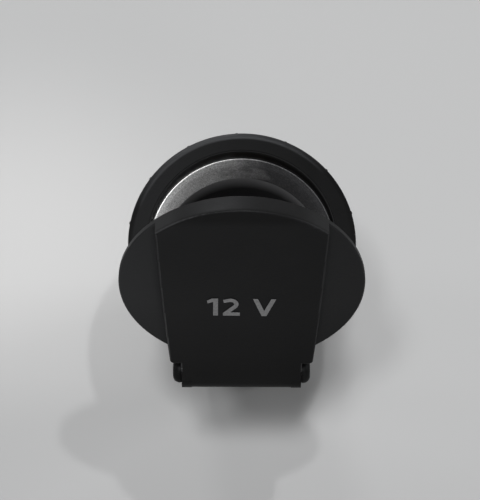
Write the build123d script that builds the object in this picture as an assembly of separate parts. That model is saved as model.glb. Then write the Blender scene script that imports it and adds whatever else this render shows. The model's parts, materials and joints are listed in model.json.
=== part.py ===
from build123d import *
import os
from math import degrees, sqrt

# A 12 V power socket for a car's dashboard, with a hinged lid. Sizes are in millimetres.
# The origin is the centre of the flange's seating face. +Z runs along the bore, out of its mouth.
# The lid's hinge lies towards -Y, and the lid stands half open.

# Contact shell: a deep-drawn steel cup with a flared mouth and a narrower foot
BORE_D = 21.1
SHEET_T = 0.5
SHELL_LENGTH = 38.4
FLARE_RISE = 0.63
FLARE_LENGTH = 4.97
RIM_LAND = 0.14
RIM_LEAD_IN = 1.3
FOOT_STEP = 0.6
FOOT_HEIGHT = 6.0
FLOOR_BEND = 0.6
FLOOR_HOLE_D = 6.8

# Spring lances punched out of the shell: one pair grips the plug, the other locks in the ring
GRIP_ANGLE = 0.0
LOCK_ANGLE = 150.0
LANCE_W = 2.7
LANCE_TOP_BELOW_FLARE = 1.3
LANCE_LENGTH = 5.2
GRIP_LEAN = 0.2
LOCK_LEAN = 0.75
LANCE_KERF = 0.35

# Mounting ring: flange, recess and sleeve
FLANGE_T = 2.4
FLANGE_OVERHANG = 1.47
FLANGE_EDGE_R = 0.7
RECESS_DEPTH = 3.03
RECESS_EDGE = 0.15
SLEEVE_WALL = 1.05
SLEEVE_LENGTH = 22.0
SLEEVE_LEAD_IN = 0.5
SHELL_FIT = 0.05

# Small ribs round the flange's rim
RIM_RIB_COUNT = 14
RIM_RIB_R = 0.35
RIM_RIB_PROUD = 0.1
RIM_RIB_TURN = 93.0
RIM_RIB_HINGE_ARC = 50.0

# Snap arms that hold the ring in the panel, and the key that stops it turning
PANEL_T = 2.6
ARM_W = 6.0
ARM_LENGTH = 11.0
ARM_SLOT = 0.8
ARM_TIP = 0.6
BARB_PROUD = 0.75
BARB_LAND = 0.6
BARB_RAMP = 4.5
KEY_W = 2.4
KEY_PROUD = 0.7
KEY_LENGTH = 5.0
CRUSH_RIB_R = 0.4
CRUSH_RIB_PROUD = 0.14
CRUSH_RIB_LENGTH = 15.0
CRUSH_RIB_TURN = 35.0

# Hinge: two lugs on the ring, a knuckle on the lid and one pin through all three
HINGE_DIRECTION = 270.0
HINGE_STANDOFF = 2.11
HINGE_ABOVE_LID = 0.3
PIN_D = 1.2
PIN_RUNNING_FIT = 0.05
PIN_LUG_FIT = 0.02
PIN_CHAMFER = 0.15
LUG_R = 1.6
LUG_T = 0.98
LUG_EDGE_R = 0.8
LUG_ROOT = 0.3
LUG_SIDE_GAP = 0.12
COLLAR_PROUD = 0.06
COLLAR_W = 1.2
KNUCKLE_CLEARANCE = 0.3
APRON_DROP = 0.25
POCKET_FLOOR_T = 0.4
POCKET_REACH = 0.9

# Lid: a thin disc with a raised keystone panel, a plug skirt and a cored back
LID_REST_ANGLE = 62.5
LID_SEAT_GAP = 0.2
LID_INSET = 0.13
LID_DISC_T = 0.82
LID_PANEL_RISE = 1.6
LID_BEVEL = 0.15
PANEL_EDGE_R = 0.25
TONGUE_W = 14.45
SHOULDER_W = 1.28
SHOULDER_AT = 3.8
SHOULDER_R = 0.5
PANEL_MID_FLARE = 0.73
PANEL_TOP_FLARE = 1.13
SKIRT_WALL = 0.9
SKIRT_H = 1.6
SKIRT_GAP = 0.5
SKIRT_LEAD_IN = 0.3
LID_SKIN = 0.9
LID_WALL = 1.2
LID_RIB_T = 0.8
LID_RIB_PITCH = 5.6
LID_RIB_STEPS = (-1, 0, 1)

# Rear end: insulator, centre contact, terminals and the connector housing
INSULATOR_D = 11.2
INSULATOR_T = 1.2
CONTACT_SHEET_T = 0.4
CONTACT_FLAT_R = 2.7
CONTACT_PETAL_RUN = 2.0
CONTACT_PETAL_RISE = 1.0
CONTACT_SLOT_W = 0.9
CONTACT_PETALS = 4
RIVET_D = 3.0
RIVET_HEAD_D = 4.8
RIVET_HEAD_H = 0.9
RIVET_TAIL_D = 4.4
RIVET_TAIL_H = 0.6
HOUSING_RIVET_D = 2.0
HOUSING_RIVET_HEAD_D = 2.8
HOUSING_RIVET_HEAD_H = 0.7
HOUSING_RIVET_AT = 7.65
HOLE_FIT = 0.06
PLATE_T = 3.0
PLATE_INSET = 0.15
PLATE_BEVEL = 0.5
BOSS_GAP = 0.1
SHROUD_CAVITY_X = 9.4
SHROUD_CAVITY_Y = 14.4
SHROUD_WALL = 1.3
SHROUD_DEPTH = 9.0
SHROUD_CORNER_R = 1.6
POLARISING_SLOT_W = 2.2
POLARISING_SLOT_H = 5.5
LATCH_W = 4.4
LATCH_PROUD = 1.1
LATCH_LENGTH = 3.0
LATCH_FROM_END = 2.6
BLADE_W = 6.3
BLADE_T = 0.8
BLADE_AT = 4.4
BLADE_RECESS = 1.5
BLADE_BEND_R = 0.3
BLADE_TIP = 0.8
POCKET_GAP = 0.1
GROUND_FOOT_RUN = 3.0
GROUND_EYE_R = 1.9

# Radii and heights that follow
BORE_R = BORE_D / 2
TUBE_R = BORE_R + SHEET_T
RIM_R = TUBE_R + FLARE_RISE
FOOT_R = BORE_R - FOOT_STEP
FLOOR_HOLE_R = FLOOR_HOLE_D / 2
RECESS_R = RIM_R + SHELL_FIT
SLEEVE_R = RECESS_R + SLEEVE_WALL
SLEEVE_BORE_R = TUBE_R + SHELL_FIT
RING_R = SLEEVE_R + FLANGE_OVERHANG
RIM_Z = FLANGE_T - RECESS_DEPTH
FLARE_Z = RIM_Z - FLARE_LENGTH
FLOOR_Z = RIM_Z - SHELL_LENGTH
FLOOR_TOP_Z = FLOOR_Z + SHEET_T
STEP_Z = FLOOR_Z + FOOT_HEIGHT
LANCE_TOP_Z = FLARE_Z - LANCE_TOP_BELOW_FLARE
LANCE_FOOT_Z = LANCE_TOP_Z - LANCE_LENGTH
GRIP_ANGLES = (GRIP_ANGLE, GRIP_ANGLE + 180)
LOCK_ANGLES = (LOCK_ANGLE, LOCK_ANGLE + 180)
ARM_ANGLES = (0.0, 180.0)
BARB_Z = -PANEL_T
ARM_TOP_Z = BARB_Z + ARM_TIP
ARM_FOOT_Z = ARM_TOP_Z - ARM_LENGTH

LID_BACK_Z = FLANGE_T + LID_SEAT_GAP
LID_DISC_Z = LID_BACK_Z + LID_DISC_T
LID_FACE_Z = LID_DISC_Z + LID_PANEL_RISE
LID_T = LID_DISC_T + LID_PANEL_RISE
LID_R = RING_R - LID_INSET
HINGE_Y = -(RING_R + HINGE_STANDOFF)
HINGE_Z = LID_BACK_Z + HINGE_ABOVE_LID
HINGE_AXIS = Axis((0, HINGE_Y, HINGE_Z), (1, 0, 0))
PIN_R = PIN_D / 2
KNUCKLE_R = LID_FACE_Z - HINGE_Z
COLLAR_R = KNUCKLE_R + COLLAR_PROUD
TONGUE_HALF = TONGUE_W / 2
LUG_INNER_X = TONGUE_HALF + LUG_SIDE_GAP
LUG_OUTER_X = LUG_INNER_X + LUG_T
APRON_Y = HINGE_Y + COLLAR_R + KNUCKLE_CLEARANCE
APRON_TOP_Z = FLANGE_T - APRON_DROP
SKIRT_R = RECESS_R - SKIRT_GAP
SKIRT_BORE_R = SKIRT_R - SKIRT_WALL

CONTACT_Z = FLOOR_TOP_Z + INSULATOR_T
RIVET_SEAT_Z = CONTACT_Z + CONTACT_SHEET_T
RIVET_R = RIVET_D / 2
HOUSING_RIVET_R = HOUSING_RIVET_D / 2
PLATE_R = FOOT_R + SHEET_T - PLATE_INSET
PLATE_Z = FLOOR_Z - PLATE_T
SHROUD_X = SHROUD_CAVITY_X + 2 * SHROUD_WALL
SHROUD_Y = SHROUD_CAVITY_Y + 2 * SHROUD_WALL
END_Z = PLATE_Z - SHROUD_DEPTH
BLADE_END_Z = END_Z + BLADE_RECESS
BOSS_R = FLOOR_HOLE_R - BOSS_GAP

# How close a circle's radius and height must be to the ones asked for
NEAR = 1e-4


def spun(points, arc=360.0, start=0.0):
    """Solid of revolution about the bore's axis, from (radius, height) corners."""
    profile = Plane.XZ * make_face(Polyline(*points, close=True))
    return Rot(0, 0, start) * revolve(profile, Axis.Z, arc)


def wedge(points, middle, width, radius):
    """Slice of a solid of revolution, as wide as given at that radius, centred on an angle from +X."""
    arc = degrees(width / radius)
    return spun(points, arc, middle - arc / 2)


def band(inner, outer, bottom, top):
    """Corners of a rectangle in radius and height."""
    return (inner, bottom), (outer, bottom), (outer, top), (inner, top)


def upright(radius, bottom, top, x=0.0, y=0.0):
    """Cylinder along Z between two heights."""
    return Pos(x, y, (bottom + top) / 2) * Cylinder(radius, top - bottom)


def slab(x, y, z):
    """Box between the given (low, high) pairs."""
    size = [high - low for low, high in (x, y, z)]
    centre = [(high + low) / 2 for low, high in (x, y, z)]
    return Pos(*centre) * Box(*size)


def rods(profile, *spans):
    """A profile in Y and Z, extruded along X over each (low, high) span."""
    return [extrude(Plane.YZ.offset(low) * profile, high - low) for low, high in spans]


def ring_edges(solid, radius, height):
    """Circular edges of one radius at one height, centred on the bore's axis."""
    circles = solid.edges().filter_by(GeomType.CIRCLE)
    return [
        edge
        for edge in circles
        if abs(edge.radius - radius) < NEAR and abs(edge.arc_center.Z - height) < NEAR
    ]


def lance(angle, lean):
    """Strip of the shell's wall, bent out at its top by the given lean, or in where that is negative."""
    strip = [
        (BORE_R, LANCE_FOOT_Z),
        (TUBE_R, LANCE_FOOT_Z),
        (TUBE_R + lean, LANCE_TOP_Z),
        (BORE_R + lean, LANCE_TOP_Z),
    ]
    return wedge(strip, angle, LANCE_W, BORE_R)


def contact_shell():
    """Drawn steel cup: flared mouth, plug bore, stepped foot, holed floor and four spring lances."""
    shell = spun(
        [
            (FLOOR_HOLE_R, FLOOR_Z),
            (FOOT_R + SHEET_T, FLOOR_Z),
            (FOOT_R + SHEET_T, STEP_Z),
            (TUBE_R, STEP_Z + FOOT_STEP),
            (TUBE_R, FLARE_Z),
            (RIM_R, RIM_Z),
            (RIM_R - RIM_LAND, RIM_Z),
            (RIM_R - SHEET_T, RIM_Z - RIM_LEAD_IN),
            (BORE_R, FLARE_Z),
            (BORE_R, STEP_Z + FOOT_STEP),
            (FOOT_R, STEP_Z),
            (FOOT_R, FLOOR_TOP_Z),
            (FLOOR_HOLE_R, FLOOR_TOP_Z),
        ]
    )
    outer_bend = FLOOR_BEND + (2 - sqrt(2)) * SHEET_T
    shell = chamfer(ring_edges(shell, FOOT_R, FLOOR_TOP_Z), FLOOR_BEND)
    shell = chamfer(ring_edges(shell, FOOT_R + SHEET_T, FLOOR_Z), outer_bend)
    window = band(BORE_R - SHEET_T, TUBE_R + SHEET_T, LANCE_FOOT_Z, LANCE_TOP_Z + LANCE_KERF)
    for angle in GRIP_ANGLES + LOCK_ANGLES:
        shell -= wedge(window, angle, LANCE_W + 2 * LANCE_KERF, BORE_R)
    for x in (-HOUSING_RIVET_AT, HOUSING_RIVET_AT):
        shell -= upright(HOUSING_RIVET_R + HOLE_FIT, FLOOR_Z - SHEET_T, FLOOR_TOP_Z + SHEET_T, x)
    grips = [lance(angle, -GRIP_LEAN) for angle in GRIP_ANGLES]
    locks = [lance(angle, LOCK_LEAN) for angle in LOCK_ANGLES]
    return shell + (grips + locks)


def hinge_lugs():
    """Hinge pocket at the flange's lower edge: a floor under the knuckle and a bored lug at each end."""
    inside = (-LUG_INNER_X, LUG_INNER_X)
    pocket_y = HINGE_Y - POCKET_REACH
    brow_y = APRON_Y + LUG_ROOT
    apron = slab(inside, (APRON_Y, 0), (0, APRON_TOP_Z))
    pocket_floor = slab(inside, (pocket_y, 0), (0, POCKET_FLOOR_T))
    eye = Pos(HINGE_Y, HINGE_Z) * Circle(LUG_R)
    foot = Polyline((pocket_y, 0), (brow_y, 0), (brow_y, APRON_TOP_Z))
    cheek = make_hull(eye.edges() + foot.edges())
    lug = rods(cheek, (LUG_INNER_X, LUG_OUTER_X))[0]
    outer_face = lug.faces().sort_by(Axis.X)[-1]
    lug = fillet(outer_face.edges().filter_by(GeomType.CIRCLE), LUG_EDGE_R)
    root = slab((LUG_INNER_X, LUG_OUTER_X), (brow_y, 0), (0, APRON_TOP_Z))
    cheeks = [lug, root, mirror(lug, Plane.YZ), mirror(root, Plane.YZ)]
    pocket = Part() + [apron, pocket_floor] + cheeks
    pin_hole = Pos(HINGE_Y, HINGE_Z) * Circle(PIN_R + PIN_LUG_FIT)
    pocket -= rods(pin_hole, (-LUG_OUTER_X, LUG_OUTER_X))
    return pocket - upright(SLEEVE_R, -LUG_R, HINGE_Z + LUG_R)


def snap_arms(ring):
    """Ring with two arms slotted free in the sleeve's wall, each with a barb behind the panel."""
    inner = SLEEVE_BORE_R - SLEEVE_WALL
    outer = SLEEVE_R + SLEEVE_WALL
    side = band(inner, outer, ARM_FOOT_Z, ARM_TOP_Z)
    over = band(inner, outer, ARM_TOP_Z, ARM_TOP_Z + ARM_SLOT)
    barb = [
        (SLEEVE_R - SLEEVE_WALL / 2, BARB_Z),
        (SLEEVE_R + BARB_PROUD, BARB_Z),
        (SLEEVE_R + BARB_PROUD, BARB_Z - BARB_LAND),
        (SLEEVE_R, BARB_Z - BARB_LAND - BARB_RAMP),
        (SLEEVE_R - SLEEVE_WALL / 2, BARB_Z - BARB_LAND - BARB_RAMP),
    ]
    slot_turn = degrees((ARM_W + ARM_SLOT) / 2 / SLEEVE_R)
    for angle in ARM_ANGLES:
        for turn in (-slot_turn, slot_turn):
            ring -= wedge(side, angle + turn, ARM_SLOT, SLEEVE_R)
        ring -= wedge(over, angle, ARM_W + 2 * ARM_SLOT, SLEEVE_R)
        ring += wedge(barb, angle, ARM_W, SLEEVE_R)
    return ring


def rim_ribs():
    """Half-round ribs round the flange's rim, left out beside the hinge."""
    ribs = []
    for index in range(RIM_RIB_COUNT):
        angle = (RIM_RIB_TURN + index * 360 / RIM_RIB_COUNT) % 360
        if abs(angle - HINGE_DIRECTION) > RIM_RIB_HINGE_ARC:
            rib = upright(RIM_RIB_R, 0, FLANGE_T - FLANGE_EDGE_R, RING_R + RIM_RIB_PROUD - RIM_RIB_R)
            ribs.append(Rot(0, 0, angle) * rib)
    return ribs


def crush_ribs():
    """Four slim ribs on the sleeve, which take up play in the panel's hole."""
    rib = upright(CRUSH_RIB_R, -CRUSH_RIB_LENGTH, 0, SLEEVE_R + CRUSH_RIB_PROUD - CRUSH_RIB_R)
    turns = (CRUSH_RIB_TURN, 180 - CRUSH_RIB_TURN, 180 + CRUSH_RIB_TURN, -CRUSH_RIB_TURN)
    return [Rot(0, 0, turn) * rib for turn in turns]


def mounting_ring():
    """One black moulding: flange, recess, sleeve, hinge lugs, snap arms and locating key."""
    ring = spun(
        [
            (RECESS_R, FLANGE_T),
            (RING_R, FLANGE_T),
            (RING_R, 0),
            (SLEEVE_R, 0),
            (SLEEVE_R, SLEEVE_LEAD_IN - SLEEVE_LENGTH),
            (SLEEVE_R - SLEEVE_LEAD_IN, -SLEEVE_LENGTH),
            (SLEEVE_BORE_R, -SLEEVE_LENGTH),
            (SLEEVE_BORE_R, FLARE_Z),
            (RECESS_R, RIM_Z),
        ]
    )
    ring = fillet(ring_edges(ring, RING_R, FLANGE_T), FLANGE_EDGE_R)
    ring = chamfer(ring_edges(ring, RECESS_R, FLANGE_T), RECESS_EDGE)
    key_r = SLEEVE_R - SLEEVE_WALL / 2
    key = slab((-KEY_W / 2, KEY_W / 2), (key_r, SLEEVE_R + KEY_PROUD), (-KEY_LENGTH, 0))
    ring = ring + rim_ribs() + crush_ribs() + key
    ring = snap_arms(ring + hinge_lugs())
    window = band(TUBE_R, SLEEVE_R + SLEEVE_WALL, LANCE_FOOT_Z, LANCE_TOP_Z + SHELL_FIT)
    for angle in LOCK_ANGLES:
        ring -= wedge(window, angle, LANCE_W + 2 * LANCE_KERF, BORE_R)
    return ring


def keystone(inset, foot_y, top_y):
    """Outline of the lid's panel: bowed sides that spread from the shoulders to the free end."""
    foot = TONGUE_HALF + SHOULDER_W - inset
    mid_y = (HINGE_Y + SHOULDER_AT + LID_R) / 2
    right = ThreePointArc(
        (foot, foot_y), (foot + PANEL_MID_FLARE, mid_y), (foot + PANEL_TOP_FLARE, top_y)
    )
    left = mirror(right, Plane.YZ)
    return make_face([right, left, Line(right @ 0, left @ 0), Line(right @ 1, left @ 1)])


def lid_panel():
    """Raised panel with its shoulders and tongue, its outer edges rounded."""
    shoulder_y = HINGE_Y + SHOULDER_AT
    tongue_end_y = HINGE_Y + KNUCKLE_R
    round_end = Circle(LID_R) + Pos(0, HINGE_Y / 2) * Rectangle(2 * LID_R, -HINGE_Y)
    outline = keystone(0, shoulder_y, LID_R) & round_end
    feet = outline.vertices().group_by(Axis.Y)[0]
    outline = fillet(feet, SHOULDER_R)
    tongue_h = shoulder_y + SHOULDER_AT - tongue_end_y
    outline += Pos(0, tongue_end_y + tongue_h / 2) * Rectangle(TONGUE_W, tongue_h)
    panel = extrude(Pos(0, 0, LID_BACK_Z) * outline, LID_T)
    face_edges = panel.faces().sort_by(Axis.Z)[-1].edges()
    tongue_end = face_edges.sort_by(Axis.Y)[0]
    return fillet([edge for edge in face_edges if edge != tongue_end], PANEL_EDGE_R)


def lid_knuckle():
    """Round knuckle that blends into the panel's face, with a bearing collar at each end."""
    barrel = Pos(HINGE_Y, HINGE_Z) * Circle(KNUCKLE_R)
    joint = Line((HINGE_Y + KNUCKLE_R, HINGE_Z), (HINGE_Y + KNUCKLE_R, LID_FACE_Z))
    profile = make_hull(barrel.edges() + [joint])
    collar = Pos(HINGE_Y, HINGE_Z) * Circle(COLLAR_R)
    ends = rods(collar, (-TONGUE_HALF, COLLAR_W - TONGUE_HALF), (TONGUE_HALF - COLLAR_W, TONGUE_HALF))
    return rods(profile, (-TONGUE_HALF, TONGUE_HALF)) + ends


def lid_core():
    """Cells moulded into the panel's back inside the skirt, with ribs left between them."""
    shoulder_y = HINGE_Y + SHOULDER_AT
    opening = keystone(LID_WALL, shoulder_y, LID_R) & Circle(SKIRT_BORE_R - LID_WALL)
    core = extrude(Pos(0, 0, LID_BACK_Z) * opening, LID_T - LID_SKIN)
    height = (LID_BACK_Z, LID_FACE_Z)
    for step in LID_RIB_STEPS:
        middle = step * LID_RIB_PITCH
        core -= slab((-LID_R, LID_R), (middle - LID_RIB_T / 2, middle + LID_RIB_T / 2), height)
    core -= slab((-LID_RIB_T / 2, LID_RIB_T / 2), (-LID_R, LID_R), height)
    return core


def lid():
    """Lid moulded in one piece, drawn closed on the flange and then swung to its half-open rest."""
    disc = upright(LID_R, LID_BACK_Z, LID_DISC_Z)
    skirt = spun(
        [
            (SKIRT_BORE_R, LID_DISC_Z - LID_DISC_T / 2),
            (SKIRT_BORE_R, LID_BACK_Z - SKIRT_H),
            (SKIRT_R - SKIRT_LEAD_IN, LID_BACK_Z - SKIRT_H),
            (SKIRT_R, LID_BACK_Z - SKIRT_H + SKIRT_LEAD_IN),
            (SKIRT_R, LID_DISC_Z - LID_DISC_T / 2),
        ]
    )
    cover = lid_panel() + lid_knuckle() + disc + skirt - lid_core()
    rim = ring_edges(cover, LID_R, LID_BACK_Z) + ring_edges(cover, LID_R, LID_DISC_Z)
    cover = chamfer(rim, LID_BEVEL)
    hole = Pos(HINGE_Y, HINGE_Z) * Circle(PIN_R + PIN_RUNNING_FIT)
    cover -= rods(hole, (-LUG_OUTER_X, LUG_OUTER_X))
    return cover.rotate(HINGE_AXIS, LID_REST_ANGLE)


def hinge_pin():
    """Steel pin held in both lugs; the lid's knuckle turns on it."""
    pin = Pos(0, HINGE_Y, HINGE_Z) * Rot(0, 90, 0) * Cylinder(PIN_R, 2 * LUG_OUTER_X)
    return chamfer(pin.edges().filter_by(GeomType.CIRCLE), PIN_CHAMFER)


def insulator():
    """Flat washer that keeps the centre contact off the shell's floor."""
    hole_r = RIVET_R + HOLE_FIT
    return spun(band(hole_r, INSULATOR_D / 2, FLOOR_TOP_Z, CONTACT_Z))


def centre_contact():
    """Dished spring contact, its rim slotted into petals."""
    petal_r = CONTACT_FLAT_R + CONTACT_PETAL_RUN
    top_z = CONTACT_Z + CONTACT_PETAL_RISE
    contact = spun(
        [
            (RIVET_R + HOLE_FIT, CONTACT_Z),
            (CONTACT_FLAT_R, CONTACT_Z),
            (petal_r, top_z),
            (petal_r, top_z + CONTACT_SHEET_T),
            (CONTACT_FLAT_R, RIVET_SEAT_Z),
            (RIVET_R + HOLE_FIT, RIVET_SEAT_Z),
        ]
    )
    reach = (CONTACT_FLAT_R, petal_r + CONTACT_PETAL_RUN)
    slot_y = (-CONTACT_SLOT_W / 2, CONTACT_SLOT_W / 2)
    slot = slab(reach, slot_y, (CONTACT_Z - SHEET_T, top_z + CONTACT_PETAL_RISE))
    for index in range(CONTACT_PETALS):
        contact -= Rot(0, 0, (index + 0.5) * 360 / CONTACT_PETALS) * slot
    return contact


def rivet(shank_r, head_r, head_h, tail_r, tail_h, seat_z, tail_z):
    """Rivet along Z: bevelled head above the seat, plain shank, spread tail below."""
    bevel = head_h / 2
    return spun(
        [
            (0, seat_z + head_h),
            (head_r - bevel, seat_z + head_h),
            (head_r, seat_z + bevel),
            (head_r, seat_z),
            (shank_r, seat_z),
            (shank_r, tail_z),
            (tail_r, tail_z),
            (tail_r, tail_z - tail_h / 2),
            (tail_r - tail_h / 2, tail_z - tail_h),
            (0, tail_z - tail_h),
        ]
    )


def contact_rivet():
    """Brass rivet that carries the current from the centre contact to its terminal."""
    tail = (RIVET_TAIL_D / 2, RIVET_TAIL_H)
    return rivet(RIVET_R, RIVET_HEAD_D / 2, RIVET_HEAD_H, *tail, RIVET_SEAT_Z, PLATE_Z - BLADE_T)


def housing_rivets():
    """Two rivets that clamp the connector housing to the shell's floor."""
    head = (HOUSING_RIVET_HEAD_D / 2, HOUSING_RIVET_HEAD_H)
    one = rivet(HOUSING_RIVET_R, *head, *head, FLOOR_TOP_Z, PLATE_Z)
    return Compound([Pos(x, 0, 0) * one for x in (-HOUSING_RIVET_AT, HOUSING_RIVET_AT)])


def tipped(strip):
    """Terminal blade with its tip narrowed for the plug's receptacle."""
    return chamfer(strip.edges().filter_by(Axis.Y).group_by(Axis.Z)[0], BLADE_TIP)


def positive_terminal():
    """Bent brass strip riveted under the housing's plate, with its blade towards +Y."""
    outer_y = BLADE_AT + BLADE_T / 2
    inner_y = BLADE_AT - BLADE_T / 2
    foot_z = PLATE_Z - BLADE_T
    foot_y = -RIVET_TAIL_D / 2
    strip = make_face(
        Polyline(
            (foot_y, PLATE_Z),
            (outer_y, PLATE_Z),
            (outer_y, BLADE_END_Z),
            (inner_y, BLADE_END_Z),
            (inner_y, foot_z),
            (foot_y, foot_z),
            close=True,
        )
    )
    strip = fillet(strip.vertices().sort_by_distance((outer_y, PLATE_Z))[0], BLADE_BEND_R + BLADE_T)
    strip = fillet(strip.vertices().sort_by_distance((inner_y, foot_z))[0], BLADE_BEND_R)
    bent = tipped(extrude(Plane.YZ.offset(-BLADE_W / 2) * strip, BLADE_W))
    return bent - upright(RIVET_R + HOLE_FIT, PLATE_Z - PLATE_T, PLATE_Z + PLATE_T)


def ground_foot(gap):
    """Outline of the ground terminal's foot: it runs out past the blade and round to one rivet."""
    near_y = -(BLADE_AT - BLADE_T / 2)
    far_y = near_y - GROUND_FOOT_RUN
    run_x = HOUSING_RIVET_AT + BLADE_W / 2
    foot = Pos(run_x / 2 - BLADE_W / 2, (near_y + far_y) / 2) * Rectangle(run_x, near_y - far_y)
    arm_w = 2 * GROUND_EYE_R
    arm = Pos(HOUSING_RIVET_AT, near_y / 2) * Rectangle(arm_w, -near_y)
    eye = Pos(HOUSING_RIVET_AT, 0) * Circle(GROUND_EYE_R)
    corner = Pos(HOUSING_RIVET_AT, near_y) * Circle(GROUND_EYE_R)
    shape = (foot + arm + eye + corner) & Circle(PLATE_R - SHEET_T - POCKET_GAP)
    return offset(shape, gap) if gap else shape


def ground_terminal():
    """Brass strip clamped against the shell's floor, with its blade towards -Y."""
    foot = extrude(Pos(0, 0, FLOOR_Z - BLADE_T) * ground_foot(0), BLADE_T)
    leg_y = (-BLADE_AT - BLADE_T / 2, -BLADE_AT + BLADE_T / 2)
    leg = tipped(slab((-BLADE_W / 2, BLADE_W / 2), leg_y, (BLADE_END_Z, FLOOR_Z)))
    hole = upright(HOUSING_RIVET_R + HOLE_FIT, FLOOR_Z - PLATE_T, FLOOR_Z + SHEET_T, HOUSING_RIVET_AT)
    return foot + leg - hole


def latch_ramp():
    """Wedge on the shroud's +X side that a plug's latch snaps over."""
    side = SHROUD_X / 2
    low_z = END_Z + LATCH_FROM_END
    profile = Plane.XZ * make_face(
        Polyline(
            (side - SHROUD_WALL / 2, low_z),
            (side, low_z),
            (side + LATCH_PROUD, low_z + LATCH_LENGTH),
            (side - SHROUD_WALL / 2, low_z + LATCH_LENGTH),
            close=True,
        )
    )
    return extrude(profile, LATCH_W / 2, both=True)


def connector_housing():
    """Rear moulding: insulating plate and boss, and the open shroud round the two blades."""
    plate = upright(PLATE_R, PLATE_Z, FLOOR_Z)
    plate = chamfer(ring_edges(plate, PLATE_R, PLATE_Z), PLATE_BEVEL)
    boss = upright(BOSS_R, FLOOR_Z - SHEET_T, FLOOR_TOP_Z)
    outer = RectangleRounded(SHROUD_X, SHROUD_Y, SHROUD_CORNER_R)
    cavity = Rectangle(SHROUD_CAVITY_X, SHROUD_CAVITY_Y)
    shroud = extrude(Pos(0, 0, END_Z) * (outer - cavity), SHROUD_DEPTH + PLATE_T / 2)
    shroud -= upright(SHROUD_Y, PLATE_Z, FLOOR_Z)
    housing = plate + boss + shroud + latch_ramp()
    housing -= upright(RIVET_R + HOLE_FIT, PLATE_Z - PLATE_T, FLOOR_TOP_Z + PLATE_T)
    for x in (-HOUSING_RIVET_AT, HOUSING_RIVET_AT):
        housing -= upright(HOUSING_RIVET_R + HOLE_FIT, PLATE_Z - PLATE_T, FLOOR_Z + PLATE_T, x)
    pocket_depth = BLADE_T + POCKET_GAP
    housing -= extrude(Pos(0, 0, FLOOR_Z - pocket_depth) * ground_foot(POCKET_GAP), pocket_depth)
    slot_x = (-BLADE_W / 2 - POCKET_GAP, BLADE_W / 2 + POCKET_GAP)
    slot_y = (-BLADE_AT - BLADE_T / 2 - POCKET_GAP, -BLADE_AT + BLADE_T / 2 + POCKET_GAP)
    housing -= slab(slot_x, slot_y, (PLATE_Z - PLATE_T, FLOOR_Z))
    notch_y = (SHROUD_CAVITY_Y / 2 - SHROUD_WALL, SHROUD_Y / 2 + SHROUD_WALL)
    notch_x = (-POLARISING_SLOT_W / 2, POLARISING_SLOT_W / 2)
    housing -= slab(notch_x, notch_y, (END_Z - SHROUD_WALL, END_Z + POLARISING_SLOT_H))
    return housing


PIECES = {
    "mounting_ring": mounting_ring,
    "lid": lid,
    "hinge_pin": hinge_pin,
    "contact_shell": contact_shell,
    "insulator": insulator,
    "centre_contact": centre_contact,
    "contact_rivet": contact_rivet,
    "positive_terminal": positive_terminal,
    "ground_terminal": ground_terminal,
    "housing_rivets": housing_rivets,
    "connector_housing": connector_housing,
}

os.makedirs("parts", exist_ok=True)
for name, make in PIECES.items():
    export_step(make(), os.path.join("parts", name + ".step"))
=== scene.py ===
# %% [markdown]
# A 12 V power socket for a car's dashboard stands on a pale table, with its lid half open.
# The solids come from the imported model, at their real size and in metres.
# This lesson gives each of them its finish, prints the voltage on the lid, and sets light and camera.

# %% Load the solids
import json
import math

import bmesh
import bpy
from mathutils import Matrix, Vector


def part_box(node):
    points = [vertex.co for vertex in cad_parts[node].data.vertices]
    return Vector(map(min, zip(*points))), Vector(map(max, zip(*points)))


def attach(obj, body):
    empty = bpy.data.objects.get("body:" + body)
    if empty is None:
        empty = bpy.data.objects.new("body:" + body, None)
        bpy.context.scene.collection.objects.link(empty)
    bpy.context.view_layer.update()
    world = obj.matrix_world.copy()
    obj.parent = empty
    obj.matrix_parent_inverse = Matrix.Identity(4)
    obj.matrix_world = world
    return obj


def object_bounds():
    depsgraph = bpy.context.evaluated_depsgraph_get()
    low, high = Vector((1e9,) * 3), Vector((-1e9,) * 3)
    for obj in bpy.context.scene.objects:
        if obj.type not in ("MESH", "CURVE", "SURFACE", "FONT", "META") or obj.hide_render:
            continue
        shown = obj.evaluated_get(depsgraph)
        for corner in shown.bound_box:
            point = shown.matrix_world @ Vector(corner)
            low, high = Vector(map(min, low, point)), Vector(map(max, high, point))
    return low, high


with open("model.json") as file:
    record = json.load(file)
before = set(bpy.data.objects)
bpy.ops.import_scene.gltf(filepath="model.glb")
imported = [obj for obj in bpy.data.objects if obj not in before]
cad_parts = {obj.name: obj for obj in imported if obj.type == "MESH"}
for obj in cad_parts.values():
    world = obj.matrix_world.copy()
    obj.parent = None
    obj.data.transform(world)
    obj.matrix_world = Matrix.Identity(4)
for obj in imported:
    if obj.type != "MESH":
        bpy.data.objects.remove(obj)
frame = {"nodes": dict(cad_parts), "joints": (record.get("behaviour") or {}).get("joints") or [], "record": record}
solid_low, solid_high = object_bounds()
MM = 0.001
print("solids:", sorted(frame["nodes"]))
print("box in mm:", [round(side / MM, 2) for side in solid_high - solid_low])

# %% [markdown]
# Every finish below is a small network of shader nodes, so the steps that repeat come first.
# The networks could be drawn by hand in Blender's editor, but a script can be read and run again.
# A node is added with its settings in one call, and a link is one call as well.

# %% Node helpers
def new_finish(name):
    """Empty material with one Principled shader; returns the material, its tree and the shader."""
    finish = bpy.data.materials.new(name)
    finish.use_nodes = True
    tree = finish.node_tree
    return finish, tree, tree.nodes["Principled BSDF"]


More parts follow.
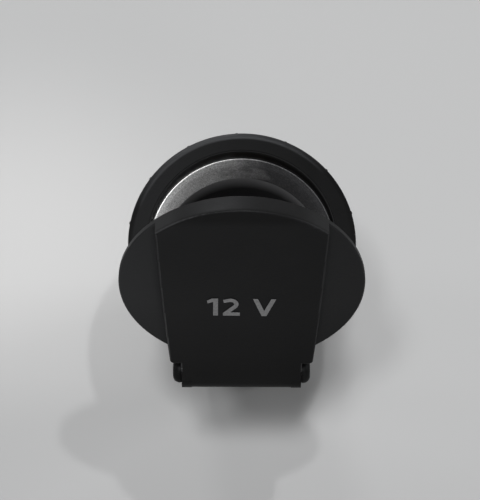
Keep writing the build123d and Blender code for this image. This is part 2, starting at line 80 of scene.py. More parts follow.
def add(tree, kind, inputs=None, **settings):
    """Adds a node, sets its properties, and fills or links its inputs."""
    node = tree.nodes.new(kind)
    for key, value in settings.items():
        setattr(node, key, value)
    for key, value in (inputs or {}).items():
        if isinstance(value, bpy.types.NodeSocket):
            tree.links.new(value, node.inputs[key])
        else:
            node.inputs[key].default_value = value
    return node


def feed(tree, shader, **links):
    """Links patterns to the shader's sockets; underscores stand for spaces in a socket's name."""
    for name, socket in links.items():
        tree.links.new(socket, shader.inputs[name.replace("_", " ")])


print("node helpers ready")

# %% [markdown]
# A pattern starts from a place on the piece. Its coordinates are the object's own, in metres,
# so a grain keeps its real size and stays on its piece when the lid swings.
# Unwrapped maps would do as well, but the solids have none, and noise in space needs none.

# %% Patterns
def own_coordinates(tree):
    """The piece's own coordinates, in metres."""
    return add(tree, "ShaderNodeTexCoord").outputs["Object"]


def noise(tree, where, size, detail=3.0, roughness=0.55):
    """Cloudy pattern whose blots are about the given size across."""
    inputs = {"Vector": where, "Scale": 1 / size, "Detail": detail, "Roughness": roughness}
    return add(tree, "ShaderNodeTexNoise", inputs).outputs["Fac"]


def spread(tree, value, low, high, start=0.3, end=0.7, curve="LINEAR"):
    """Stretches a pattern's middle tones over a new range of numbers."""
    inputs = {"Value": value, "From Min": start, "From Max": end, "To Min": low, "To Max": high}
    return add(tree, "ShaderNodeMapRange", inputs, interpolation_type=curve).outputs["Result"]


def tones(tree, value, *stops):
    """Colours a pattern from (place, colour) stops."""
    ramp = add(tree, "ShaderNodeValToRGB", {"Fac": value})
    elements = ramp.color_ramp.elements
    while len(elements) < len(stops):
        elements.new(0.5)
    for element, (place, colour) in zip(elements, stops):
        element.position = place
        element.color = (*colour, 1.0)
    return ramp.outputs["Color"]


def bumped(tree, height, depth, strength=1.0, before=None):
    """Surface relief of the given depth in metres."""
    inputs = {"Height": height, "Distance": depth, "Strength": strength}
    if before is not None:
        inputs["Normal"] = before
    return add(tree, "ShaderNodeBump", inputs).outputs["Normal"]


print("patterns ready")

# %% [markdown]
# Wear is never even: it sits on one side, on an edge or below a rim.
# Painted masks would need maps again, so each mask is worked out from where a point lies:
# how far along a direction, or how far off the bore's axis, which is Z.
# Masks are numbers from 0 to 1. Multiplied, they hold only where all of them do.

# %% Masks
ACROSS, AWAY, UP = (1, 0, 0), (0, 1, 0), (0, 0, 1)  # along the hinge, away from it, out of the mouth


def rising(tree, value, start, end):
    """Mask that goes from 0 at the start to 1 at the end."""
    return spread(tree, value, 0.0, 1.0, start, end)


def falling(tree, value, start, end):
    """Mask that goes from 1 at the start to 0 at the end."""
    return spread(tree, value, 1.0, 0.0, start, end)


def short_of(edge, distances):
    """Places that lie the given distances short of an edge."""
    return [edge - distance for distance in distances]


def combined(tree, operation, first, second=0.0):
    """Two patterns or numbers put together by an operation of arithmetic."""
    return add(tree, "ShaderNodeMath", {0: first, 1: second}, operation=operation).outputs[0]


def product(tree, first, *others):
    """Patterns or numbers multiplied together."""
    for other in others:
        first = combined(tree, "MULTIPLY", first, other)
    return first


def along(tree, where, direction):
    """How far a point lies along a direction, in metres."""
    sides = {0: where, 1: direction}
    return add(tree, "ShaderNodeVectorMath", sides, operation="DOT_PRODUCT").outputs["Value"]


def flattened(tree, where):
    """The part of a vector that lies across the Z axis."""
    sides = {0: where, 1: (1, 1, 0)}
    return add(tree, "ShaderNodeVectorMath", sides, operation="MULTIPLY").outputs[0]


def off_axis(tree, where):
    """A point's distance from the Z axis, in metres."""
    across = flattened(tree, where)
    return add(tree, "ShaderNodeVectorMath", {0: across}, operation="LENGTH").outputs["Value"]


def facing(tree):
    """The direction that the surface faces."""
    return add(tree, "ShaderNodeNewGeometry").outputs["Normal"]


def mixed(tree, part, first, second):
    """Blend by a mask of two colours, each a pattern or three numbers."""
    ends = [(*colour, 1.0) if isinstance(colour, tuple) else colour for colour in (first, second)]
    return add(tree, "ShaderNodeMix", {0: part, 6: ends[0], 7: ends[1]}, data_type="RGBA").outputs[2]


print("masks ready")

# %% [markdown]
# The ring, the lid and the connector are moulded from black plastic in spark-eroded tools.
# Such a tool leaves a fine pebbled grain of about a tenth of a millimetre, which spreads highlights.
# Modelled grain would take millions of faces, so two sizes of pattern make it as relief.
# A third, broad one varies tone and gloss, as handling does. What shows on plastic this black is
# mostly its shine, which hands have polished unevenly, so each piece brings its own pattern of it.

# %% Moulded black plastic
GRAIN_SIZE = 0.16 * MM
GRAIN_DEPTH = 0.012 * MM
PEBBLE_SIZE = 2 * GRAIN_SIZE
HANDLING_SIZE = 5.0 * MM
HANDLING_TONE = 0.18
COOL_SHINE = (0.93, 0.95, 1.0, 1.0)


def moulded_black(name, grey, gloss, shine, grain=1.0):
    """Black plastic with a moulded grain; gloss is a pair of roughnesses, shine a pattern's maker."""
    finish, tree, shader = new_finish(name)
    where = own_coordinates(tree)
    fine = noise(tree, where, GRAIN_SIZE, 2.0)
    pebbles = add(tree, "ShaderNodeTexVoronoi", {"Vector": where, "Scale": 1 / PEBBLE_SIZE})
    handling = noise(tree, where, HANDLING_SIZE, 4.0)
    dark, pale = (3 * (grey * part,) for part in (1 - HANDLING_TONE, 1 + HANDLING_TONE))
    colour = tones(tree, handling, (0.3, dark), (0.7, pale))
    relief = bumped(tree, pebbles.outputs["Distance"], GRAIN_DEPTH * grain, 0.35)
    relief = bumped(tree, fine, GRAIN_DEPTH * grain, 0.8, relief)
    feed(tree, shader, Base_Color=colour, Roughness=spread(tree, handling, *gloss), Normal=relief)
    feed(tree, shader, Specular_IOR_Level=shine(tree, where))
    shader.inputs["Specular Tint"].default_value = COOL_SHINE
    return finish


def even_shine(level):
    """Maker of a shine that only wear varies a little."""

    def shine(tree, where):
        return spread(tree, noise(tree, where, HANDLING_SIZE, 3.0), 0.8 * level, 1.2 * level)

    return shine


def paint_light_into(finish, mask, colour):
    """Mixes a colour of painted light into a finish, by a mask that the given function makes."""
    tree = finish.node_tree
    base = tree.nodes["Principled BSDF"].inputs["Base Color"]
    worn = mask(tree, own_coordinates(tree))
    tree.links.new(mixed(tree, worn, base.links[0].from_socket, colour), base)


print("plastic helpers ready")

# %% [markdown]
# The flange is rubbed on the side away from the hinge, and most on its rounded edge.
# Below the flange the sleeve has kept the tool's finish, and so have the hinge's lugs.
# The lip of the recess is painted paler grey, as painted light on the top of its wall.
# One finish does for the whole moulding, with the places told apart by masks, because a seam
# between two materials would show.

# %% Finish of the ring
MOULDED_BLACK = 0.0055
MOULDED_GLOSS = (0.46, 0.58)
FACE_SHINE = (0.065, 0.02)
RIM_SHINE = 0.5
RIM_BAND = (1.0 * MM, 0.6 * MM)
LUG_SHINE = 0.06
SLEEVE_SHINE = 0.3
RUBBED_SIDE = (-0.2, 0.98, 0.0)
RECESS_R = 11.73 * MM
# Grey of the light painted on the recess's lip.
PAINTED_LIP_GREY = (0.036, 0.036, 0.037)
LIP_BAND = (1.3 * MM, 0.3 * MM)
ring_low, ring_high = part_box("mounting_ring")
ring_r = (ring_high.x - ring_low.x) / 2
ring_points = [v.co for v in frame["nodes"]["mounting_ring"].data.vertices]
flange_top = max(point.z for point in ring_points if point.y > 0)


def ring_shine(tree, where):
    """Shine by side and by distance from the axis, with a plainer sleeve and lugs."""
    face = spread(tree, along(tree, where, ACROSS), *FACE_SHINE, -0.6 * ring_r, 0.6 * ring_r)
    rim = rising(tree, off_axis(tree, where), *short_of(ring_r, RIM_BAND))
    side = spread(tree, along(tree, where, RUBBED_SIDE), 0.0, RIM_SHINE, 0.45 * ring_r, 0.95 * ring_r)
    lugs = spread(tree, along(tree, where, AWAY), LUG_SHINE, 0.0, -1.05 * ring_r, -0.95 * ring_r)
    sleeve = spread(tree, along(tree, where, UP), SLEEVE_SHINE, 0.0, -0.3 * MM, 0.1 * MM)
    plain = combined(tree, "MAXIMUM", lugs, sleeve)
    worn = combined(tree, "ADD", face, product(tree, rim, side))
    return combined(tree, "MAXIMUM", plain, worn)


def painted_lip_light(tree, where):
    """The highest part of the recess's wall, where light is painted."""
    wall = falling(tree, off_axis(tree, where), RECESS_R - 0.05 * MM, RECESS_R + 0.1 * MM)
    high = rising(tree, along(tree, where, UP), *short_of(flange_top, LIP_BAND))
    return product(tree, wall, high)


ring_black = moulded_black("ring_black", MOULDED_BLACK, MOULDED_GLOSS, ring_shine)
# Painted light: the top of the recess's wall is made paler grey.
paint_light_into(ring_black, painted_lip_light, PAINTED_LIP_GREY)
print("ring is", round(2 * ring_r / MM, 2), "mm across and", round(flange_top / MM, 2), "mm thick")

# %% [markdown]
# The lid's finish needs to know where its face lies, and typed-in numbers would go stale.
# So it is measured: the joint says where the hinge lies and how far the lid stands open,
# and the mesh says how far the face is off the hinge and where it ends.

# %% Measure the lid
hinge = frame["joints"][0]
hinge_point = Vector(hinge["pos_m"])
open_angle = math.radians(-hinge["range_deg"][0])
up_the_lid = Vector((0, math.cos(open_angle), math.sin(open_angle)))
off_the_lid = Vector((0, -math.sin(open_angle), math.cos(open_angle)))
lid_points = [v.co - hinge_point for v in frame["nodes"]["lid"].data.vertices]
face_height = max(point.dot(off_the_lid) for point in lid_points)
lid_reach = max(point.dot(up_the_lid) for point in lid_points)
lid_low, lid_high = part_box("lid")
lid_half = (lid_high.x - lid_low.x) / 2
face_level = face_height + hinge_point.dot(off_the_lid)
hinge_level = hinge_point.dot(up_the_lid)
print("lid stands open by", round(math.degrees(open_angle), 1), "degrees")
print("its face is", round(face_height / MM, 3), "mm off the hinge")
print("its end is", round(lid_reach / MM, 2), "mm from the hinge")

# %% [markdown]
# Thumbs push on the middle of the panel, and the disc beside it keeps a smoother skin.
# The panel's long edges are painted paler grey as a highlight, the left one more than the right.
# A bevel mask from the renderer could find the edges too, but it doesn't leave Blender,
# so they are found by the way the rounded edge faces, along the hinge.
# The connector at the rear is of the same plastic, with a shallower grain and hardly handled.

# %% Finish of the lid and the connector
THUMB_SHINE = (0.07, 0.137)
THUMB_START, THUMB_END = 2 * MM, 14 * MM  # from the hinge
DISC_SHINE = 2.2  # times the panel's
PANEL_STEP = (0.6 * MM, 0.3 * MM)
TIP_SHINE = 0.6
TIP_BAND = (2.5 * MM, 1.5 * MM)
LID_SIDES_SHINE = (1.35, 0.68)
# Grey of the highlight painted on the panel's edges, then its slant, band and sides.
PAINTED_EDGE_GREY = (0.026, 0.026, 0.027)
EDGE_SLANT = (0.3, 0.5)
EDGE_BAND = (0.32 * MM, 0.22 * MM)
EDGE_SIDES = (1.0, 0.4)
HOUSING_BLACK = 0.009
HOUSING_GLOSS = (0.42, 0.55)
HOUSING_SHINE = 0.3
HOUSING_GRAIN = 0.6


def lid_shine(tree, where):
    """Shine that grows from the hinge to the panel's middle, and again on the disc."""
    out = along(tree, where, off_the_lid)
    reach = along(tree, where, up_the_lid)
    disc = spread(tree, out, DISC_SHINE, 1.0, *short_of(face_level, PANEL_STEP))
    thumb = spread(tree, reach, *THUMB_SHINE, hinge_level + THUMB_START, hinge_level + THUMB_END)
    tip = spread(tree, reach, 1.0, TIP_SHINE, *short_of(hinge_level + lid_reach, TIP_BAND))
    side = spread(tree, along(tree, where, ACROSS), *LID_SIDES_SHINE, -lid_half, lid_half)
    return product(tree, thumb, tip, disc, side)


def painted_edge_highlight(tree, where):
    """The rounded long edges of the panel, where a highlight is painted, and the left one more."""
    aslant = combined(tree, "ABSOLUTE", along(tree, facing(tree), ACROSS))
    edge = rising(tree, aslant, *EDGE_SLANT)
    high = rising(tree, along(tree, where, off_the_lid), *short_of(face_level, EDGE_BAND))
    side = spread(tree, along(tree, where, ACROSS), *EDGE_SIDES, -0.5 * lid_half, 0.5 * lid_half)
    return product(tree, edge, high, side)


lid_black = moulded_black("lid_black", MOULDED_BLACK, MOULDED_GLOSS, lid_shine)
# Painted highlight: the panel's long edges are made paler grey, the left one more.
paint_light_into(lid_black, painted_edge_highlight, PAINTED_EDGE_GREY)
housing_shine = even_shine(HOUSING_SHINE)
housing_black = moulded_black("housing_black", HOUSING_BLACK, HOUSING_GLOSS, housing_shine, HOUSING_GRAIN)
print("lid is", round(2 * lid_half / MM, 2), "mm across")

# %% [markdown]
# The contact shell is a cup drawn from steel sheet and plated.
# Drawing leaves faint streaks along the cup, and the plating is matt and slightly crystalline.
# A stretched noise gives streaks, but it has to run round the cup and not across it,
# so the angle about the axis is worked out and takes the place of a coordinate.
# The hinge's pin and the rivets are steel too, and take the same finish in other greys.

# %% Plated steel
STREAK_W = 0.25 * MM
STREAK_LENGTH = 12 * MM
STREAK_DEPTH = 0.004 * MM
CRYSTAL_SIZE = 0.2 * MM
CRYSTAL_DEPTH = 0.04 * MM
TARNISH_SIZE = 3.5 * MM
TARNISH_SHARE = 0.35
TARNISH_TONES = (0.5, 1.25)
TARNISH_SPREAD = (0.54, 0.82)
PIN_GREY = 0.12
PIN_GLOSS = (0.3, 0.45)
RIVET_GREY = 0.5
RIVET_GLOSS = (0.25, 0.38)


def streaks(tree, where, radius):
    """Pattern drawn out along Z, narrow round the cup."""
    split = add(tree, "ShaderNodeSeparateXYZ", {"Vector": where})
    turn = combined(tree, "ARCTAN2", split.outputs["Y"], split.outputs["X"])
    around = product(tree, turn, radius / STREAK_W)
    upward = product(tree, split.outputs["Z"], 1 / STREAK_LENGTH)
    unrolled = add(tree, "ShaderNodeCombineXYZ", {"X": around, "Y": upward})
    inputs = {"Vector": unrolled.outputs[0], "Scale": 1.0, "Detail": 3.0}
    return add(tree, "ShaderNodeTexNoise", inputs).outputs["Fac"]


def plating(tree, where, radius, grey):
    """Colour, draw lines and relief of matt plating with crystals and a little tarnish."""
    drawn = streaks(tree, where, radius)
    crystals = noise(tree, where, CRYSTAL_SIZE, 3.0, 0.7)
    tarnish = noise(tree, where, TARNISH_SIZE, 5.0)
    dull, bright = (3 * (grey * part,) for part in TARNISH_TONES)
    both = combined(tree, "ADD", crystals, product(tree, tarnish, TARNISH_SHARE))
    colour = tones(tree, rising(tree, both, *TARNISH_SPREAD), (0.0, dull), (1.0, bright))
    relief = bumped(tree, crystals, CRYSTAL_DEPTH, 0.9)
    return colour, drawn, bumped(tree, drawn, STREAK_DEPTH, 0.5, relief)


def plated_steel(name, radius, grey, gloss):
    """Plated steel without wear; gloss is a pair of roughnesses."""
    finish, tree, shader = new_finish(name)
    colour, drawn, relief = plating(tree, own_coordinates(tree), radius, grey)
    feed(tree, shader, Base_Color=colour, Roughness=spread(tree, drawn, *gloss), Normal=relief)
    shader.inputs["Metallic"].default_value = 1.0
    return finish


shell_low, shell_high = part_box("contact_shell")
shell_r = (shell_high.x - shell_low.x) / 2
pin_wire = plated_steel("pin_wire", shell_r, PIN_GREY, PIN_GLOSS)
rivet_steel = plated_steel("rivet_steel", shell_r, RIVET_GREY, RIVET_GLOSS)
print("shell is", round(2 * shell_r / MM, 2), "mm across")

# %% [markdown]
# One side of the flared mouth keeps bright plating as painted light, and the other side is painted dark grey as
# shade, with an uneven border. Below the mouth, the inside is painted darker with depth, almost to black, as
# painted shade.
# The outside, which only the sleeve has touched, is still bright and brushed.
# Inside and outside are one sheet, so they are told apart by which way a face looks.
# The cut edges of the spring lances look outwards too, and are added by where they lie:
# the record's mount for plugs says where the bore begins and ends, and how wide it is.

# %% Masks of the shell's painted light and shade
BORDER_BLOTS = 0.25  # this and the border's ends are in radii of the shell, across the mouth
# Ends of the border between the lit side and the painted shade of the mouth.
LIT_SIDE_END, SHADED_SIDE_START = -0.9, 0.38
SHADED_SIDE_MOST = 0.98
bore = next(mount for mount in frame["record"]["mounts"] if mount["name"] == "plug_bore")
bore_r = bore["dims"]["r_mm"] * MM
bore_half = bore["dims"]["length_mm"] * MM / 2
mouth_end = bore["pos_m"][2] + bore_half
foot_top = bore["pos_m"][2] - bore_half


def inside_of_shell(tree, where):
    """Faces that don't look outwards, and the lances' edges."""
    outwards = along(tree, facing(tree), flattened(tree, where))
    inner = falling(tree, outwards, 0.6 * shell_r, 0.85 * shell_r)
    within = falling(tree, off_axis(tree, where), bore_r - 0.1 * MM, bore_r)
    above = rising(tree, along(tree, where, UP), foot_top, foot_top + 0.5 * MM)
    return combined(tree, "MAXIMUM", inner, product(tree, within, above))


def painted_shade_side(tree, where):
    """The side of the mouth that is painted dark as shade, with an uneven border."""
    blots = noise(tree, where, TARNISH_SIZE, 5.0, 0.7)
    uneven = spread(tree, blots, -BORDER_BLOTS * shell_r, BORDER_BLOTS * shell_r)
    aside = combined(tree, "ADD", along(tree, where, ACROSS), uneven)
    border = (LIT_SIDE_END * shell_r, SHADED_SIDE_START * shell_r)
    return spread(tree, aside, 0.0, SHADED_SIDE_MOST, *border, "SMOOTHSTEP")


print("bore runs from", round(mouth_end / MM, 2), "to", round(foot_top / MM, 2), "mm")

# %% [markdown]
# The colours of the painted light and shade are mixed by those masks, from the outside in. Where the plating is
# painted dark it is made hardly metallic, so metal, shine and roughness follow the masks too.

# %% Finish of the shell, with painted light and shade
# The plating's grey is set high as painted light on the bright side of the mouth; the other side is painted dark
# as shade.
PLATING_GREY = 0.9
SHADED_MOUTH_GREY = 0.05
SPARKLE = (0.7, 2.6)
DULLING_LENGTH = 0.15 * MM
FADING_LENGTH = 4.6 * MM
# Greys painted inside the bore as shade, pale near the mouth and dark deeper in.
PALE_PAINTED_SHADE = (0.36, 0.36, 0.37)
DARK_PAINTED_SHADE = (0.04, 0.04, 0.042)
BRUSHED_DULL = (0.4, 0.4, 0.41)
BRUSHED_BRIGHT = (0.56, 0.56, 0.57)
BRUSHED_GLOSS = (0.3, 0.42)
INSIDE_GLOSS = (0.5, 0.85)  # in the mouth and in the bore
INSIDE_SHINE = (0.1, 0.5)  # where it is dull and where it gleams
SHADED_SIDE_GLEAM = 0.15
MOUTH_METAL = 0.35


def mouth_colour(tree, where, plated, shaded_side):
    """Bright plating on the lit side, and dim grains with a sparkle on the side painted as shade."""
    grain = noise(tree, where, 1.3 * CRYSTAL_SIZE, 3.0, 0.8)
    levels = [part * SHADED_MOUTH_GREY for part in SPARKLE]
    dim, sparkling = ((level, level, 1.06 * level) for level in levels)
    return mixed(tree, shaded_side, plated, tones(tree, grain, (0.48, dim), (0.8, sparkling)))


def shell_with_painted_shade():
    """Plated steel with painted light and shade: bright on one side of the mouth, dark on the other, and dark and
    dull inside, below it.
    """
    finish, tree, shader = new_finish("shell_plating")
    where = own_coordinates(tree)
    plated, drawn, relief = plating(tree, where, shell_r, PLATING_GREY)
    inner = inside_of_shell(tree, where)
    shaded_side = painted_shade_side(tree, where)
    height = along(tree, where, UP)
    below = falling(tree, height, mouth_end - DULLING_LENGTH, mouth_end)
    depth = falling(tree, height, mouth_end - FADING_LENGTH, mouth_end)
    # Painted light and shade: one side of the mouth bright, the other dark grey.
    mouth = mouth_colour(tree, where, plated, shaded_side)
    # Painted shade: the inside darkens with depth below the mouth.
    inside = mixed(tree, below, mouth, mixed(tree, depth, PALE_PAINTED_SHADE, DARK_PAINTED_SHADE))
    outside = tones(tree, drawn, (0.3, BRUSHED_DULL), (0.7, BRUSHED_BRIGHT))
    lit_side = spread(tree, shaded_side, 1.0, SHADED_SIDE_GLEAM, 0.0, 1.0)
    gleam = product(tree, lit_side, falling(tree, below, 0.0, 1.0))
    metal = combined(tree, "MAXIMUM", product(tree, gleam, MOUTH_METAL), falling(tree, inner, 0.0, 1.0))
    rough_outside = spread(tree, drawn, *BRUSHED_GLOSS)
    rough_inside = spread(tree, below, *INSIDE_GLOSS, 0.0, 1.0)
    rough = add(tree, "ShaderNodeMix", {0: inner, 2: rough_outside, 3: rough_inside}).outputs[0]
    shine = spread(tree, gleam, *INSIDE_SHINE, 0.0, 1.0)
    feed(tree, shader, Base_Color=mixed(tree, inner, outside, inside), Normal=relief)
    feed(tree, shader, Metallic=metal, Roughness=rough, Specular_IOR_Level=shine)
    return finish


shell_plating = shell_with_painted_shade()
print("shell's finish has", len(shell_plating.node_tree.nodes), "nodes")

# %% [markdown]
# Inside and behind the shell are brass contacts, tinned terminals and a fibre washer.
# Brass darkens unevenly where it has been handled and riveted, so noise mixes two tones of it.
# Pressed fibre has no grain direction: fine flecks and a soft relief are enough.

# %% Brass, tinned brass and pressed fibre
STAIN_SIZE = 1.4 * MM
RUB_SIZE = 0.09 * MM
RUB_DEPTH = 0.003 * MM
FLECK_SIZE = 0.3 * MM
FLECK_DEPTH = 0.02 * MM
FIBRE_BROWN = (0.03, 0.013, 0.01)
FIBRE_FLECK = (0.085, 0.036, 0.026)
FIBRE_ROUGHNESS = 0.7
DULL_BRASS = (0.08, 0.062, 0.04)
BRIGHT_BRASS = (0.27, 0.2, 0.11)
BRASS_GLOSS = (0.34, 0.5)
DULL_TIN = (0.36, 0.34, 0.29)
BRIGHT_TIN = (0.62, 0.6, 0.55)
TIN_GLOSS = (0.3, 0.45)


def riveted_metal(name, dull, bright, gloss):
    """Metal strip or rivet with uneven tarnish."""
    finish, tree, shader = new_finish(name)
    where = own_coordinates(tree)
    stains = noise(tree, where, STAIN_SIZE, 5.0)
    relief = bumped(tree, noise(tree, where, RUB_SIZE, 2.0), RUB_DEPTH, 0.5)
    feed(tree, shader, Base_Color=tones(tree, stains, (0.3, dull), (0.66, bright)))
    feed(tree, shader, Roughness=spread(tree, stains, *gloss), Normal=relief)
    shader.inputs["Metallic"].default_value = 1.0
    return finish


def pressed_fibre(name):
    """Red-brown fibre board with pale flecks."""
    finish, tree, shader = new_finish(name)
    flecks = noise(tree, own_coordinates(tree), FLECK_SIZE, 4.0, 0.7)
    colour = tones(tree, flecks, (0.35, FIBRE_BROWN), (0.75, FIBRE_FLECK))
    feed(tree, shader, Base_Color=colour, Normal=bumped(tree, flecks, FLECK_DEPTH, 0.5))
    shader.inputs["Roughness"].default_value = FIBRE_ROUGHNESS
    return finish


worn_brass = riveted_metal("worn_brass", DULL_BRASS, BRIGHT_BRASS, BRASS_GLOSS)
tinned_brass = riveted_metal("tinned_brass", DULL_TIN, BRIGHT_TIN, TIN_GLOSS)
brown_fibre = pressed_fibre("brown_fibre")
print("metals and fibre ready")

# %% [markdown]
# Each solid keeps its mesh and takes one finish, by the material slot of its object.
# A table of names is easier to check against the list of pieces than eleven assignments.

# %% Dress the solids
FINISHES = {
    "mounting_ring": ring_black,
    "lid": lid_black,
    "hinge_pin": pin_wire,
    "contact_shell": shell_plating,
    "insulator": brown_fibre,
    "centre_contact": worn_brass,
    "contact_rivet": worn_brass,
    "positive_terminal": tinned_brass,
    "ground_terminal": tinned_brass,
    "housing_rivets": rivet_steel,
    "connector_housing": housing_black,
}
for name, finish in FINISHES.items():
    node = frame["nodes"][name]
    node.data.materials.clear()
    node.data.materials.append(finish)
print("dressed", len(FINISHES), "solids")

# %% [markdown]
# The voltage is pad-printed in grey ink on the lid's panel.
# A text object would need a font, so the three signs are drawn as outlines in millimetres,
# with strokes of one width. Only the bowl of the figure two is round, and comes from an arc.

# %% Outlines of the signs
SIGN_H = 3.0
STROKE = 0.56
ONE_W = 1.28
TWO_W = 1.95
VEE_W = 2.64
BOWL_REACH = (0.93, 0.95)
HOLLOW_REACH = (0.42, 0.4)
ONE_LEFT, TWO_LEFT, VEE_LEFT = -3.84, -1.99, 1.43


def arc(centre, radii, start, end, steps=14):
    """Points on an ellipse between two angles in degrees."""
    turns = [math.radians(start + (end - start) * step / steps) for step in range(steps + 1)]
    return [(centre[0] + radii[0] * math.cos(t), centre[1] + radii[1] * math.sin(t)) for t in turns]


def sign_one():
    """A stem with a slanting flag."""
    stem = ONE_W - STROKE
    flag = [(stem - 0.12, SIGN_H), (0, SIGN_H - 0.4), (0.08, SIGN_H - 0.86), (stem, SIGN_H - 0.58)]
    return [(stem, 0), (ONE_W, 0), (ONE_W, SIGN_H)] + flag


def sign_two():
    """A bowl that runs into a slanting stroke, on a flat base."""
    middle = (0.85, SIGN_H - BOWL_REACH[1])
    bowl = arc(middle, BOWL_REACH, -40, 112)
    hollow = arc(middle, HOLLOW_REACH, 112, -40)
    foot = [(0, 0.46), (0, 0), (TWO_W, 0), (TWO_W, STROKE), (0.8, STROKE)]
    return bowl + [(0, SIGN_H - 0.24), (0.1, SIGN_H - 0.74)] + hollow + foot


def sign_vee():
    """Two slanting strokes that meet on a short flat."""
    middle = VEE_W / 2
    return [
        (middle - STROKE / 2, 0),
        (middle + STROKE / 2, 0),
        (VEE_W, SIGN_H),
        (VEE_W - STROKE, SIGN_H),
        (middle, 0.9),
        (STROKE, SIGN_H),
        (0, SIGN_H),
    ]


SIGNS = {ONE_LEFT: sign_one(), TWO_LEFT: sign_two(), VEE_LEFT: sign_vee()}
print("outline points:", [len(points) for points in SIGNS.values()])

# %% [markdown]
# Ink lies on the plastic as a thin film, so each outline becomes a floor, a top and a low wall.
# A pattern in the lid's own material could show the signs too, but their edges would be less crisp.
# Blender's extrude would raise the faces in one call, but can number them differently in each run.
# The print lies flat on the measured face, a little askew as pad prints are, and rides on the lid.

# %% Print the signs
INK_T = 0.02 * MM
INK_SPECK = 0.25 * MM
INK_RELIEF = 0.006 * MM
THIN_INK = (0.115, 0.115, 0.117)
FULL_INK = (0.155, 0.155, 0.157)
INK_ROUGHNESS = 0.6
PRINT_MIDDLE = 14.45 * MM
PRINT_ASIDE = -0.16 * MM
PRINT_TURN = math.radians(-0.8)


def printed_signs():
    """One mesh of the three signs, as thick as a film of ink, on the lid's face."""
    mesh = bpy.data.meshes.new("voltage_print")
    work = bmesh.new()
    for left, outline in SIGNS.items():
        floor, top = (
            [work.verts.new((left + x, y - SIGN_H / 2, height)) for x, y in outline]
            for height in (0, INK_T / MM)
        )
        work.faces.new(floor)
        work.faces.new(top)
        for corner in range(len(outline)):
            work.faces.new((floor[corner - 1], floor[corner], top[corner], top[corner - 1]))
    bmesh.ops.recalc_face_normals(work, faces=work.faces)
    bmesh.ops.triangulate(work, faces=[face for face in work.faces if len(face.verts) > 4])
    work.to_mesh(mesh)
    work.free()
    across = Vector(ACROSS)
    origin = hinge_point + across * PRINT_ASIDE + up_the_lid * PRINT_MIDDLE + off_the_lid * face_height
    place = Matrix((across, up_the_lid, off_the_lid)).transposed().to_4x4()
    turn = Matrix.Rotation(PRINT_TURN, 4, "Z")
    mesh.transform(Matrix.Translation(origin) @ place @ turn @ Matrix.Scale(MM, 4))
    return bpy.data.objects.new("voltage_print", mesh)


def grey_ink(name):
    """Matt grey ink, thinner in places."""
    finish, tree, shader = new_finish(name)
    cover = noise(tree, own_coordinates(tree), INK_SPECK, 4.0, 0.6)
    colour = tones(tree, cover, (0.36, THIN_INK), (0.6, FULL_INK))
    feed(tree, shader, Base_Color=colour, Normal=bumped(tree, cover, INK_RELIEF, 0.5))
    shader.inputs["Roughness"].default_value = INK_ROUGHNESS
    return finish


voltage_print = printed_signs()
voltage_print.data.materials.append(grey_ink("grey_ink"))
bpy.context.scene.collection.objects.link(voltage_print)
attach(voltage_print, "lid")
print("print has", len(voltage_print.data.polygons), "faces")

# %% [markdown]
# The socket stands on a pale, matt table, which is stage and not part of the object.
# One wide disc does for it. Its colour is the grey that the table shows in plain light, with a paler patch beside
# the socket painted as a pool of light, and a darker front painted as shadow. Lamps could make the patch as well,
# but they would change the tones of the socket with it.

# %% Table
TABLE_R = 1.5
CLOUD_SIZE = 0.12
PEARL_SIZE = 1.2 * MM
PEARL_DEPTH = 0.004 * MM
PATCH_CENTRE = (-40 * MM, 14.5 * MM, 0.0)
PATCH_REACH = (38 * MM, 25 * MM, 1.0)
PATCH_FADE = (0.1, 1.5)  # in reaches from its centre
FRONT_SHARE = 0.7
FRONT_EDGE = (-28 * MM, -8 * MM)
LAMINATE = (0.39, 0.392, 0.394)
LIGHT_POOL_LAMINATE = (0.495, 0.495, 0.495)
FRONT_SHADOW_LAMINATE = (0.34, 0.341, 0.344)
LAMINATE_GLOSS = (0.6, 0.68)
LAMINATE_SHINE = 0.3


def pale_laminate(name):
    """Matt grey laminate with a paler oval patch of painted light and a darker front of painted shadow."""
    finish, tree, shader = new_finish(name)
    where = own_coordinates(tree)
    oval = {"Vector": where, "Location": PATCH_CENTRE, "Scale": PATCH_REACH}
    inside = add(tree, "ShaderNodeMapping", oval, vector_type="TEXTURE").outputs["Vector"]
    # Painted pool of light: a paler oval beside the socket.
    light_pool = spread(tree, off_axis(tree, inside), 1.0, 0.0, *PATCH_FADE, "SMOOTHSTEP")
    laminate = tones(tree, light_pool, (0.0, LAMINATE), (1.0, LIGHT_POOL_LAMINATE))
    # Painted shadow: the front of the table is made darker.
    front = spread(tree, along(tree, where, AWAY), FRONT_SHARE, 0.0, *FRONT_EDGE)
    relief = bumped(tree, noise(tree, where, PEARL_SIZE, 2.0), PEARL_DEPTH, 0.3)
    feed(tree, shader, Base_Color=mixed(tree, front, laminate, FRONT_SHADOW_LAMINATE), Normal=relief)
    feed(tree, shader, Roughness=spread(tree, noise(tree, where, CLOUD_SIZE, 2.0), *LAMINATE_GLOSS))
    shader.inputs["Specular IOR Level"].default_value = LAMINATE_SHINE
    return finish


def table_top(height):
    """Wide disc at the height of the object's lowest point."""
    mesh = bpy.data.meshes.new("table")
    work = bmesh.new()
    bmesh.ops.create_circle(work, cap_ends=True, radius=TABLE_R, segments=128)
    work.to_mesh(mesh)
    work.free()
    mesh.materials.append(pale_laminate("pale_laminate"))
    top = bpy.data.objects.new("table", mesh)
    top.location.z = height
    return top


table = table_top(solid_low.z)
bpy.context.scene.collection.objects.link(table)
print("table at", round(solid_low.z / MM, 2), "mm")

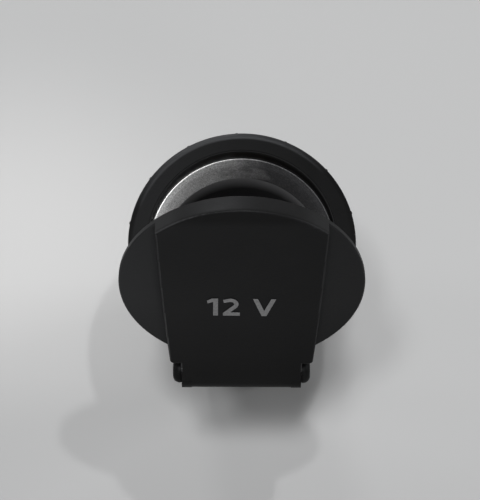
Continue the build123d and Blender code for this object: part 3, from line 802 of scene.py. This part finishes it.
# %% [markdown]
# Most of the light falls from a lamp almost straight above, and the rest comes evenly from the room.
# A small lamp close by throws the clear shadow in front and on the left, and one on the left
# the soft shadow on the right. Low windows on all sides show in the rounded edges,
# in the flared mouth and on the shell. Square lamps are used, because their edges stay soft.

# %% Room and lamps
def room_light(strength, grey):
    """Even light from all round; the eye sees a pale wall instead."""
    world = bpy.data.worlds.new("room")
    bpy.context.scene.world = world
    world.use_nodes = True
    tree = world.node_tree
    lit = tree.nodes["Background"]
    lit.inputs["Color"].default_value = (1, 1, 1, 1)
    lit.inputs["Strength"].default_value = strength
    wall = add(tree, "ShaderNodeBackground", {"Color": (grey, grey, grey, 1), "Strength": 1.0})
    seen = add(tree, "ShaderNodeLightPath").outputs["Is Camera Ray"]
    choice = add(tree, "ShaderNodeMixShader", {0: seen, 1: lit.outputs[0], 2: wall.outputs[0]})
    tree.links.new(choice.outputs[0], tree.nodes["World Output"].inputs["Surface"])


def soft_lamp(name, towards, distance, size, share):
    """Square lamp that faces the flange; its share of plain light is that on a face turned to it."""
    data = bpy.data.lights.new(name, "AREA")
    data.size = size
    data.energy = share * (math.pi * distance) ** 2
    lamp = bpy.data.objects.new(name, data)
    direction = Vector(towards).normalized()
    lamp.location = direction * distance
    lamp.rotation_euler = (-direction).to_track_quat("-Z", "Y").to_euler()
    bpy.context.scene.collection.objects.link(lamp)
    return lamp


LAMPS = {  # direction, distance and size in metres, share of plain light
    "ceiling_lamp": ((-0.03, -0.045, 1.0), 3.0, 0.22, 0.46),
    "near_lamp": ((0.103, 0.07, 0.992), 0.19, 0.004, 0.3),
    "left_lamp": ((-0.14, -0.1, 0.98), 1.0, 0.07, 0.26),
    "back_window": ((-0.25, 0.9, 0.35), 1.0, 0.2, 0.26),
    "right_window": ((0.85, 0.25, 0.4), 1.0, 0.3, 0.28),
    "left_window": ((-0.9, 0.12, 0.38), 1.0, 0.2, 0.12),
    "front_window": ((0.3, -0.9, 0.25), 1.0, 0.3, 0.08),
}
ROOM_STRENGTH = 0.2
WALL_GREY = 0.6
room_light(ROOM_STRENGTH, WALL_GREY)
for name, (towards, distance, size, share) in LAMPS.items():
    soft_lamp(name, towards, distance, size, share)
print("lamps:", list(LAMPS))

# %% [markdown]
# The camera looks steeply down on the mouth, a little from the hinge's side.
# Its direction, distance and small roll were found by matching the flange, the shell's rim
# and the lid's outline to the photograph; the flange's centre lands at a named pixel.
# Turning the camera there, and not shifting its lens, keeps the other views in the middle.

# %% Camera
IMAGE_W, IMAGE_H = 480, 500
FOCAL_PX = 1680.0
SENSOR_W = 36.0
NEAREST = 1 * MM
DISTANCE = 210 * MM
TILT = math.radians(14.58)
ROLL = 0.004
FLANGE_CENTRE = Vector((0, 0, 1.7 * MM))
FLANGE_PIXEL = (242.0, 242.2)


def photo_camera():
    """Camera at the photograph's place, turned so that the flange's centre falls on its pixel."""
    data = bpy.data.cameras.new("camera")
    data.sensor_width = SENSOR_W
    data.lens = FOCAL_PX / max(IMAGE_W, IMAGE_H) * SENSOR_W
    data.clip_start = NEAREST
    back = Vector((0, -math.sin(TILT), math.cos(TILT)))
    level = Vector(ACROSS)
    upright = back.cross(level)
    right = level * math.cos(ROLL) + upright * math.sin(ROLL)
    up = upright * math.cos(ROLL) - level * math.sin(ROLL)
    eye = FLANGE_CENTRE + back * DISTANCE
    pixel = DISTANCE / FOCAL_PX
    aim = FLANGE_CENTRE - right * (FLANGE_PIXEL[0] - IMAGE_W / 2) * pixel
    aim -= up * (IMAGE_H / 2 - FLANGE_PIXEL[1]) * pixel
    away = (eye - aim).normalized()
    side = up.cross(away).normalized()
    turn = Matrix((side, away.cross(side), away)).transposed()
    camera = bpy.data.objects.new("camera", data)
    camera.matrix_world = Matrix.Translation(eye) @ turn.to_4x4()
    bpy.context.scene.collection.objects.link(camera)
    return camera


bpy.context.scene.camera = photo_camera()
bpy.context.scene.view_settings.view_transform = "Standard"
print("camera at", [round(c / MM, 1) for c in bpy.context.scene.camera.location], "mm")
